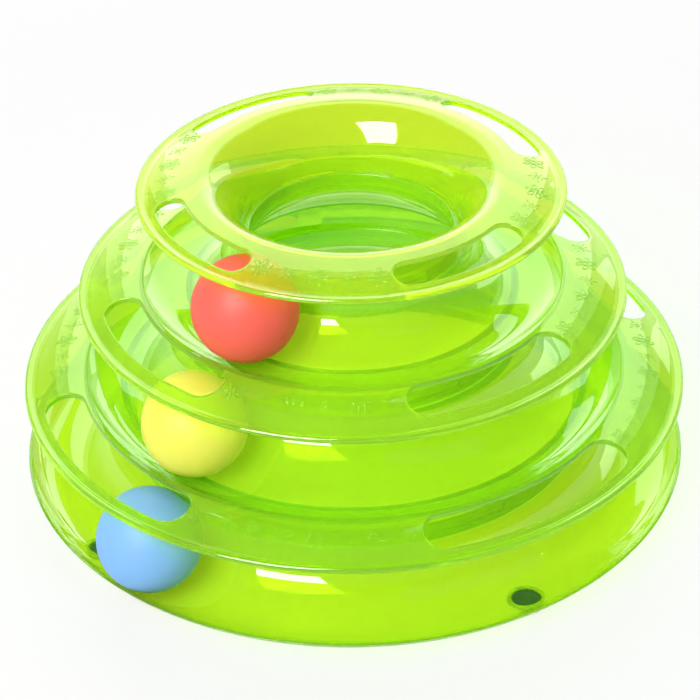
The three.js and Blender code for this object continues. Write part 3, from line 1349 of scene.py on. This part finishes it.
@dataclass
class Tray:
    """The base tray: a flat-floored trough with an upturned edge, flare and spigot, and foot holes."""

    name: str = "tray_moulding"
    node: str = "base_tray"
    body: str = "base"
    slot: Slot = Slot.TRAY
    band_rows: int = 8
    band_margin: float = 1.4
    band_trim: float = 0.6
    band_room: float = 0.3
    row_gap: float = 0.2
    flare_steps: int = 28
    lip_ease: float = 0.3
    lip_room: float = 1.2
    foot_zone_half: float = 5.625
    edge_steps: int = 18
    ease: float = 0.2
    ease_start: float = 0.3

    def edge_line(self) -> Line:
        """Draws the tray's upturned edge.

        Returns:
            Its points from the trough's lowest line to the lip.
        """
        reach = SIZES.ball_radius + SIZES.ball_clearance
        lip = SIZES.trough_radius[0] + math.sqrt(reach**2 - (reach - SIZES.base_lip_rise) ** 2)
        lowest = (SIZES.trough_radius[0], SIZES.floor_height(0))
        return rising_arc(lowest, (lip, lowest[1] + SIZES.base_lip_rise), self.edge_steps)

    def outer_face(self, upper: Line, first: int) -> Line:
        """Draws the outer face, whose wall thins along the upturned edge.

        Args:
            upper: The inner face, from the shoulder to the lip.
            first: Number of the point where the edge starts.

        Returns:
            A line of as many points.
        """
        full, thin = beside(upper, SIZES.wall), beside(upper, SIZES.base_lip_wall)
        line = []
        for i, (a, b) in enumerate(zip(full, thin)):
            share = max(0.0, (i - first) / (len(upper) - 1 - first))
            line.append((a[0] + (b[0] - a[0]) * share, a[1] + (b[1] - a[1]) * share))
        return line

    def openings(self, upper: Line, under: Line) -> list[Opening]:
        """The holes for the feet: a seat for the flange from below and a hole for the stem above it.

        Args:
            upper: The tray's upper face.
            under: Its lower face.

        Returns:
            One opening for each foot.
        """
        hole = SIZES.foot_stem_radius + SIZES.fit_gap
        seat = SIZES.foot_flange_radius + SIZES.fit_gap - hole
        seat_top = SIZES.foot_drop + SIZES.foot_flange_sink
        ease = self.ease
        bevel = ease * self.ease_start
        rings = (
            (ease, lambda r: height_on(upper, r)),
            (bevel, lambda r: height_on(upper, r) - bevel),
            (0.0, lambda r: height_on(upper, r) - ease),
            (0.0, lambda r: seat_top + ease / 2),
            (ease / 2, lambda r: seat_top),
            (seat - ease / 2, lambda r: seat_top),
            (seat, lambda r: seat_top - ease / 2),
            (seat, lambda r: height_on(under, r) + ease),
            (seat + ease, lambda r: height_on(under, r)),
        )
        return [
            Opening(centre, self.foot_zone_half, SIZES.foot_place(), hole, 0.0, rings)
            for centre in SIZES.foot_degrees()
        ]

    def make(self) -> bpy.types.Object:
        """Builds the tray.

        Returns:
            The piece.
        """
        flare, edge = flare_line(0, self.flare_steps), self.edge_line()
        upper = flare + edge
        under = self.outer_face(upper, len(flare))
        reach = SIZES.foot_flange_radius + SIZES.fit_gap + self.band_margin
        first_radius = SIZES.foot_place() - reach
        last_radius = SIZES.foot_place() + reach - self.band_trim
        beyond = last_radius + self.row_gap
        radii = spread(first_radius, last_radius, self.band_rows)
        rows = [(radius, height_on(upper, radius)) for radius in radii]
        lip_radius, lip = edge[-1]
        outer_side = eased([
            (*rows[-1], 0.0),
            *plain([p for p in edge if p[0] > beyond][:-1]),
            (lip_radius, lip, self.lip_ease),
            (lip_radius + SIZES.base_lip_wall, lip, self.lip_ease),
            *plain([p for p in reversed(under) if p[0] > beyond and p[1] < lip - self.lip_room]),
            (last_radius, height_on(under, last_radius), 0.0),
        ])[1:-1]
        first = (0, self.band_rows)
        rows += outer_side
        second = (len(rows), len(rows) + self.band_rows)
        rows += [(radius, height_on(under, radius)) for radius in reversed(radii)]
        blend = SIZES.shoulder(0) - SIZES.neck_blend
        rows += eased([
            (first_radius, height_on(under, first_radius), 0.0),
            *plain([p for p in reversed(under) if p[0] < first_radius - self.band_room and p[1] < blend]),
            *spigot_line(0),
            (SIZES.neck(0), SIZES.shoulder(0), SIZES.edge_ease),
            *plain([p for p in flare[1:] if p[0] < first_radius - self.band_room]),
            (first_radius, height_on(upper, first_radius), 0.0),
        ])[1:-1]
        moulding = Moulding(SIZES.foot_first_degrees - self.foot_zone_half, [Lugs(0)])
        moulding.rows = rows
        moulding.fill(self.openings(upper, under), first, second)
        return moulding.piece(self.name)


class Motif(Enum):
    """The two kinds of raised figure on a roof."""

    DAISY = "daisy"
    SPARK = "spark"


@dataclass
class RoofMotifs:
    """Raised figures on a roof between its paw slots: plain daisies and sparks in turn."""

    name: str
    body: str
    roof: int
    slot: Slot
    pitch: float = 10.6
    petals: int = 6
    petal_middle: float = 2.75
    petal_length: float = 1.35
    petal_width: float = 0.85
    petal_steps: int = 12
    eye_radius: float = 0.85
    eye_steps: int = 10
    arms: int = 8
    arm_inner: float = 1.5
    arm_outer: float = 3.9
    short_arm: float = 0.72
    arm_steps: int = 3
    end_taper: float = 0.45
    turn_step: float = 17.0
    stroke: float = 0.26
    sink: float = 0.1
    stroke_sides: int = 6
    end_margin: float = 5.2
    vertices: list[Vector] = field(default_factory=list)
    faces: list[tuple[int, ...]] = field(default_factory=list)

    def on_roof(self, radius: float, degrees: float, across: float, outward: float) -> Vector:
        """A place on the roof near a figure's middle, in metres.

        Args:
            radius: The figure's distance from the axis.
            degrees: The figure's angle.
            across: Distance round the axis from the figure's middle.
            outward: Distance away from the axis.

        Returns:
            The place, sunk a little under the roof's face.
        """
        place_radius = radius + outward
        turn = math.degrees(across / radius)
        return polar(place_radius, degrees + turn, roof_height(self.roof, place_radius) - self.sink)

    def stroke_along(self, path: list[Vector], closed: bool) -> None:
        """Adds a round raised line.

        Args:
            path: Places on the roof.
            closed: Whether its ends meet.
        """
        count = len(path)
        rings = []
        for i, spot in enumerate(path):
            before = path[i - 1] if closed or i > 0 else spot
            after = path[(i + 1) % count] if closed or i < count - 1 else spot
            along = (after - before).normalized()
            side = along.cross(Vector((0, 0, 1))).normalized()
            up = side.cross(along)
            ends = not closed and i in (0, count - 1)
            size = self.stroke * MM * (self.end_taper if ends else 1)
            ring = []
            for k in range(self.stroke_sides):
                angle = 2 * math.pi * k / self.stroke_sides
                self.vertices.append(spot + side * size * math.cos(angle) + up * size * math.sin(angle))
                ring.append(len(self.vertices) - 1)
            rings.append(ring)
        pairs = list(zip(rings, rings[1:])) + ([(rings[-1], rings[0])] if closed else [])
        for a, b in pairs:
            for k in range(self.stroke_sides):
                after = (k + 1) % self.stroke_sides
                self.faces.append((a[k], a[after], b[after], b[k]))
        if not closed:
            self.faces.append(tuple(rings[0]))
            self.faces.append(tuple(reversed(rings[-1])))

    def daisy(self, radius: float, degrees: float, turn: float) -> None:
        """Adds a daisy: a ring of petal outlines round an eye.

        Args:
            radius: Its distance from the axis.
            degrees: Its angle round the axis.
            turn: Its own turn, in radians.
        """
        for k in range(self.petals):
            angle = turn + 2 * math.pi * k / self.petals
            path = []
            for step in range(self.petal_steps):
                bend = 2 * math.pi * step / self.petal_steps
                along = self.petal_middle + self.petal_length * math.cos(bend)
                aside = self.petal_width * math.sin(bend)
                path.append(self.on_roof(
                    radius,
                    degrees,
                    along * math.cos(angle) - aside * math.sin(angle),
                    along * math.sin(angle) + aside * math.cos(angle),
                ))
            self.stroke_along(path, closed=True)
        self.eye(radius, degrees)

    def eye(self, radius: float, degrees: float) -> None:
        """Adds the small ring in a figure's middle.

        Args:
            radius: The figure's distance from the axis.
            degrees: Its angle round the axis.
        """
        size = self.eye_radius
        angles = [2 * math.pi * step / self.eye_steps for step in range(self.eye_steps)]
        path = [self.on_roof(radius, degrees, size * math.cos(a), size * math.sin(a)) for a in angles]
        self.stroke_along(path, closed=True)

    def spark(self, radius: float, degrees: float, turn: float) -> None:
        """Adds a spark: straight arms, long and short in turn, round an eye.

        Args:
            radius: Its distance from the axis.
            degrees: Its angle round the axis.
            turn: Its own turn, in radians.
        """
        for k in range(self.arms):
            angle = turn + 2 * math.pi * k / self.arms
            reach = self.arm_outer if k % 2 == 0 else self.arm_outer * self.short_arm
            path = [
                self.on_roof(radius, degrees, length * math.cos(angle), length * math.sin(angle))
                for length in spread(self.arm_inner, reach, self.arm_steps)
            ]
            self.stroke_along(path, closed=False)
        self.eye(radius, degrees)

    def make(self) -> bpy.types.Object:
        """Builds the figures of one roof.

        Returns:
            The piece.
        """
        inner, outer = SIZES.slot_edges(self.roof)
        radius = (outer + inner) / 2
        gap = 360 / SIZES.slot_count - SIZES.slot_span_degrees
        room = math.radians(gap) * radius - 2 * self.end_margin
        count = max(2, round(room / self.pitch) + 1)
        for slot_centre in SIZES.slot_degrees():
            middle = slot_centre + 180 / SIZES.slot_count
            for i, away in enumerate(spread(-room / 2, room / 2, count - 1)):
                degrees = middle + math.degrees(away / radius)
                turn = math.radians(self.turn_step * i + slot_centre)
                kind = Motif.DAISY if i % 2 == 0 else Motif.SPARK
                draw = self.daisy if kind is Motif.DAISY else self.spark
                draw(radius, degrees, turn)
        return piece_from(self.name, self.vertices, self.faces)


def turned_solid(name: str, outline: Line, sides: int) -> bpy.types.Object:
    """Turns a solid from an outline that starts and ends on the axis.

    Args:
        name: The piece's name.
        outline: Radius and height, from the lowest point up.
        sides: Number of columns.

    Returns:
        The piece, centred on the axis.
    """
    vertices = [Vector((0, 0, outline[0][1])) * MM]
    rings = []
    for radius, height in outline[1:-1]:
        rings.append([len(vertices) + k for k in range(sides)])
        vertices += [polar(radius, 360 * k / sides, height) for k in range(sides)]
    vertices.append(Vector((0, 0, outline[-1][1])) * MM)
    last = len(vertices) - 1
    faces = [(0, rings[0][(k + 1) % sides], rings[0][k]) for k in range(sides)]
    for a, b in zip(rings, rings[1:]):
        faces += [(a[k], a[(k + 1) % sides], b[(k + 1) % sides], b[k]) for k in range(sides)]
    faces += [(last, rings[-1][k], rings[-1][(k + 1) % sides]) for k in range(sides)]
    return piece_from(name, vertices, faces)


@dataclass
class Ball:
    """A loose ball with the faint parting line of its mould."""

    name: str
    node: str
    body: str
    slot: Slot
    tilt: tuple[float, float]
    rings: int = 72
    sides: int = 96
    seam_depth: float = 0.07
    seam_half: float = 1.3

    def make(self) -> bpy.types.Object:
        """Builds the ball where its node lies.

        Returns:
            The piece.
        """
        low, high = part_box(self.node)
        outline = []
        for degrees in spread(-90, 90, self.rings):
            seam = window(degrees, -self.seam_half / 2, self.seam_half / 2, self.seam_half)
            size = SIZES.ball_radius - self.seam_depth * seam
            angle = math.radians(degrees)
            outline.append((size * math.cos(angle), size * math.sin(angle)))
        ball = turned_solid(self.name, outline, self.sides)
        about_x, about_y = (math.radians(degrees) for degrees in self.tilt)
        turn = Matrix.Rotation(about_x, 4, "X") @ Matrix.Rotation(about_y, 4, "Y")
        ball.data.transform(Matrix.Translation((low + high) / 2) @ turn)
        return ball


@dataclass
class Foot:
    """A rubber plug: a bevelled tread with a ring in it, a flange and a stem with a dished end."""

    name: str
    node: str
    degrees: float
    sides: int = 48
    ring_radius: float = 2.6
    ring_half: float = 0.5
    ring_depth: float = 0.25
    ring_ease: float = 0.1
    tread_ease: float = 0.25
    flange_ease: float = 0.2
    root_ease: float = 0.12
    stem_ease: float = 0.18
    dish: float = 0.25
    dish_edge: float = 0.72
    dish_floor: float = 0.6
    dish_ease: float = 0.3

    def make(self) -> bpy.types.Object:
        """Builds the foot in its seat.

        Returns:
            The piece.
        """
        flange_top = SIZES.foot_drop + SIZES.foot_flange_sink - SIZES.fit_gap
        stem_top = SIZES.floor_height(0) - SIZES.foot_stem_recess
        stem, flange = SIZES.foot_stem_radius, SIZES.foot_flange_radius
        outline = eased([
            (0.0, 0.0, 0.0),
            (self.ring_radius - self.ring_half, 0.0, self.ring_ease),
            (self.ring_radius, self.ring_depth, self.ring_ease),
            (self.ring_radius + self.ring_half, 0.0, self.ring_ease),
            (SIZES.foot_tread_radius, 0.0, self.tread_ease),
            (flange, SIZES.foot_drop, self.flange_ease),
            (flange, flange_top, self.flange_ease),
            (stem, flange_top, self.root_ease),
            (stem, stem_top, self.stem_ease),
            (stem * self.dish_edge, stem_top, self.dish_ease),
            (stem * self.dish_floor, stem_top - self.dish, self.dish_ease),
            (0.0, stem_top - self.dish, 0.0),
        ])
        foot = turned_solid(self.name, outline, self.sides)
        foot.data.transform(Matrix.Translation(polar(SIZES.foot_place(), self.degrees, 0)))
        return foot


@dataclass(frozen=True)
class SoftLight:
    """A rectangular lamp that faces the tower."""

    name: str
    azimuth: float
    elevation: float
    distance: float
    width: float
    height: float
    radiance: float
    gloss_only: bool = False
    aim: tuple[float, float, float] = (0.0, 0.0, 0.06)

    def make(self) -> bpy.types.Object:
        """Places the lamp.

        Returns:
            The lamp, with its width level.
        """
        lamp = bpy.data.lights.new(self.name, "AREA")
        lamp.shape = "RECTANGLE"
        lamp.size = self.width
        lamp.size_y = self.height
        lamp.energy = 4 * self.radiance * self.width * self.height
        holder = bpy.data.objects.new(self.name, lamp)
        azimuth, elevation = math.radians(self.azimuth), math.radians(self.elevation)
        away = Vector((
            math.cos(elevation) * math.sin(azimuth),
            -math.cos(elevation) * math.cos(azimuth),
            math.sin(elevation),
        ))
        holder.location = Vector(self.aim) + away * self.distance
        holder.rotation_euler = away.to_track_quat("Z", "Y").to_euler()
        holder.visible_diffuse = not self.gloss_only
        bpy.context.scene.collection.objects.link(holder)
        return holder


@dataclass(frozen=True)
class Studio:
    """The pale room: floor, surround, lamps and camera."""

    floor_size: float = 6.0
    surround: float = 0.3
    cove_degrees: tuple[float, float] = (6.0, 21.0)
    cove_lean: float = 0.17
    floor_glow: float = 0.75
    floor_fade: tuple[float, float] = (0.32, 0.6)
    distance: float = 0.93
    camera_elevation: float = 34.414
    camera_aim_height: float = 0.0413
    camera_roll: float = -0.893
    lens: float = 125.22
    shift: tuple[float, float] = (-0.005364, 0.020757)
    sensor: float = 36.0
    nearest: float = 0.01
    paper: Colour = (0.86, 0.86, 0.86)
    clear_bounces: int = 32
    gloss_bounces: int = 8
    plain_bounces: int = 4

    def lamps(self) -> list[SoftLight]:
        """Lists the lamps.

        Returns:
            Two broad ones behind, a low one at the back right and a bright pair at the front left.
        """
        return [
            SoftLight("back_softbox", 178.5, 34, 3.0, 2.3, 2.75, 1.5),
            SoftLight("back_halo", 178.5, 34, 3.05, 2.9, 3.4, 0.62),
            SoftLight("low_back_right", 142, 17, 3.0, 1.2, 0.7, 1.8),
            SoftLight("front_window", -31, 45, 1.5, 0.69, 0.9, 6.6),
            SoftLight("window_glint", -31, 45, 1.52, 0.7, 0.91, 13.0, gloss_only=True),
        ]

    def pale(self, name: str, colour: Colour) -> bpy.types.Material:
        """Builds a floor that looks white and keeps the shadows near the tower.

        Args:
            name: The material's name.
            colour: Its own colour.

        Returns:
            The material.
        """
        shade = Shade.material(name)
        skin = shade.node("ShaderNodeBsdfDiffuse", Color=(*colour, 1))
        glow = shade.node("ShaderNodeEmission", Strength=1.0)
        place = shade.node("ShaderNodeTexCoord").outputs["Object"]
        away = shade.node("ShaderNodeVectorMath", operation="LENGTH")
        shade.link(place, away.inputs[0])
        share = shade.node(
            "ShaderNodeMapRange",
            interpolation_type="SMOOTHSTEP",
            Value=away.outputs["Value"],
            From_Min=self.floor_fade[0],
            From_Max=self.floor_fade[1],
            To_Min=self.floor_glow,
            To_Max=1.0,
        )
        mix = shade.node("ShaderNodeMixShader")
        shade.link(self.seen(shade, share.outputs["Result"]), mix.inputs[0])
        shade.link(skin.outputs["BSDF"], mix.inputs[1])
        shade.link(glow.outputs["Emission"], mix.inputs[2])
        return shade.finish(mix.outputs["Shader"])

    def seen(self, shade: Shade, share: bpy.types.NodeSocket) -> bpy.types.NodeSocket:
        """Limits a share to what the camera sees, straight or by way of gloss or clear plastic.

        Args:
            shade: The material's tree.
            share: The share from 0 to 1.

        Returns:
            The share where it is seen, or else 0.
        """
        path = shade.node("ShaderNodeLightPath")
        total = path.outputs["Is Camera Ray"]
        for other in ("Is Glossy Ray", "Is Transmission Ray"):
            step = shade.node("ShaderNodeMath", operation="MAXIMUM")
            shade.link(total, step.inputs[0])
            shade.link(path.outputs[other], step.inputs[1])
            total = step.outputs["Value"]
        step = shade.node("ShaderNodeMath", operation="MULTIPLY")
        shade.link(total, step.inputs[0])
        shade.link(share, step.inputs[1])
        return step.outputs["Value"]

    def make_world(self) -> None:
        """Sets a cove that is white round the horizon, dimmer overhead, and reaches highest at the back."""
        world = bpy.data.worlds.new("pale_cove")
        bpy.context.scene.world = world
        shade = Shade(world)
        place = shade.node("ShaderNodeTexCoord").outputs["Generated"]
        split = shade.node("ShaderNodeSeparateXYZ", Vector=place)
        height = shade.node("ShaderNodeMath", operation="MULTIPLY_ADD")
        shade.link(split.outputs["Y"], height.inputs[0])
        height.inputs[1].default_value = -self.cove_lean
        shade.link(split.outputs["Z"], height.inputs[2])
        low, high = (math.sin(math.radians(degrees)) for degrees in self.cove_degrees)
        rise = shade.node(
            "ShaderNodeMapRange",
            interpolation_type="SMOOTHSTEP",
            Value=height.outputs["Value"],
            From_Min=low,
            From_Max=high,
            To_Min=1.0,
            To_Max=self.surround,
        )
        light = shade.node("ShaderNodeBackground", Color=(1, 1, 1, 1), Strength=rise.outputs["Result"])
        output = shade.node("ShaderNodeOutputWorld")
        shade.link(light.outputs["Background"], output.inputs["Surface"])

    def make_floor(self) -> bpy.types.Object:
        """Lays the floor.

        Returns:
            The floor.
        """
        half = self.floor_size / 2
        corners = [Vector((x, y, 0)) for x, y in ((-half, -half), (half, -half), (half, half), (-half, half))]
        floor = piece_from("studio_floor", corners, [(0, 1, 2, 3)])
        floor.data.materials.append(self.pale("studio_paper", self.paper))
        return floor

    def make_camera(self) -> bpy.types.Object:
        """Places the camera where the photograph was taken.

        Returns:
            The camera.
        """
        data = bpy.data.cameras.new("photo_camera")
        data.sensor_width = self.sensor
        data.lens = self.lens
        data.shift_x, data.shift_y = self.shift
        data.clip_start = self.nearest
        camera = bpy.data.objects.new("photo_camera", data)
        elevation = math.radians(self.camera_elevation)
        away = Vector((0, -math.cos(elevation), math.sin(elevation)))
        spot = Vector((0, 0, self.camera_aim_height)) + away * self.distance
        turn = away.to_track_quat("Z", "Y").to_matrix().to_4x4()
        roll = Matrix.Rotation(math.radians(self.camera_roll), 4, "Z")
        camera.matrix_world = Matrix.Translation(spot) @ turn @ roll
        bpy.context.scene.collection.objects.link(camera)
        bpy.context.scene.camera = camera
        return camera

    def build(self) -> None:
        """Sets up the whole room."""
        scene = bpy.context.scene
        scene.view_settings.view_transform = "Standard"
        scene.cycles.max_bounces = self.clear_bounces
        scene.cycles.transmission_bounces = self.clear_bounces
        scene.cycles.transparent_max_bounces = self.clear_bounces
        scene.cycles.glossy_bounces = self.gloss_bounces
        scene.cycles.diffuse_bounces = self.plain_bounces
        self.make_world()
        self.make_floor()
        for lamp in self.lamps():
            lamp.make()
        self.make_camera()


class PaintedLightLime(Enum):
    """The limes of the mouldings, each plain and as it deepens along the flow marks. The levels are one
    plastic, and their tints differ only as painted light and shade: the top is lightest, to brighten its
    funnel, and the relief's darker lime is painted shade where the figures break the roof's reflection.
    """

    # Painted light and shade: each level's lime is lighter or darker to match how it is lit, the top lightest
    # to brighten its funnel.
    TRAY = ((0.575, 0.735, 0.055), (0.54, 0.715, 0.042))
    LOWER = ((0.52, 0.745, 0.055), (0.485, 0.725, 0.042))
    MIDDLE = ((0.555, 0.755, 0.055), (0.52, 0.735, 0.042))
    TOP = ((0.66, 0.79, 0.052), (0.62, 0.77, 0.042))
    # Painted shade: the figures' darker lime stands for the breaks they make in the roof's reflection.
    SHADED_RELIEF = ((0.45, 0.69, 0.032), (0.41, 0.66, 0.027))

    def plastic(self, name: str) -> bpy.types.Material:
        """Builds a clear plastic of this lime."""
        return ClearPlastic(name, *self.value).material()


class Tower:
    """The whole feeder."""

    def build(self) -> None:
        """Builds and dresses every piece, from the base up."""
        self.build_tray()
        self.build_levels()
        self.build_balls()

    def build_tray(self) -> None:
        """Builds the base tray and its feet."""
        tray = Tray()
        # The tray's lime is one of the level tints that are set as painted light and shade.
        place(tray.make(), PaintedLightLime.TRAY.plastic("tray_lime"), tray.slot, tray.body, [tray.node])
        rubber = FootRubber().material()
        names = ("foot_front_right", "foot_back_right", "foot_back_left", "foot_front_left")
        for node, degrees in zip(names, SIZES.foot_degrees()):
            foot = Foot(node.replace("foot_", "plug_"), node, degrees)
            place(foot.make(), rubber, Slot.FOOT, tray.body, [foot.node])

    def build_levels(self) -> None:
        """Builds the lower, middle and top levels with their raised figures."""
        levels = (
            Level("lower_moulding", "lower_level", "lower", 0, Slot.LOWER),
            Level("middle_moulding", "middle_level", "middle", 1, Slot.MIDDLE),
            Top("top_moulding", "top_level", "top", 2, Slot.TOP),
        )
        for level in levels:
            # Each level gets its own tint, lighter or darker as painted light and shade on one plastic.
            lime = PaintedLightLime[level.body.upper()].plastic(f"{level.body}_lime")
            place(level.make(), lime, level.slot, level.body, [level.node])
            motifs = RoofMotifs(f"{level.body}_figures", level.body, level.roof, level.slot)
            # The figures get a darker lime, as painted shade where they break the roof's reflection.
            shaded_relief = PaintedLightLime.SHADED_RELIEF.plastic(f"{level.body}_relief_lime")
            place(motifs.make(), shaded_relief, level.slot, level.body, [])

    def build_balls(self) -> None:
        """Builds the three balls."""
        blue = MattePlastic("blue_matte", (0.24, 0.51, 0.92), (0.22, 0.48, 0.9))
        yellow = MattePlastic("yellow_matte", (0.89, 0.86, 0.11), (0.87, 0.83, 0.095))
        red = MattePlastic("red_matte", (0.95, 0.13, 0.095), (0.93, 0.118, 0.085))
        looks = (
            ("blue", blue, Slot.BLUE, (32, 18)),
            ("yellow", yellow, Slot.YELLOW, (-24, 40)),
            ("red", red, Slot.RED, (15, -35)),
        )
        for name, finish, slot, tilt in looks:
            ball = Ball(f"{name}_ball_skin", f"ball_{name}", f"{name}_ball", slot, tilt)
            place(ball.make(), finish.material(), slot, ball.body, [ball.node])


def main() -> None:
    """Builds the room and the tower."""
    logging.basicConfig(level=logging.INFO, format="%(name)s: %(message)s")
    Studio().build()
    Tower().build()


if __name__ == "__main__":
    main()
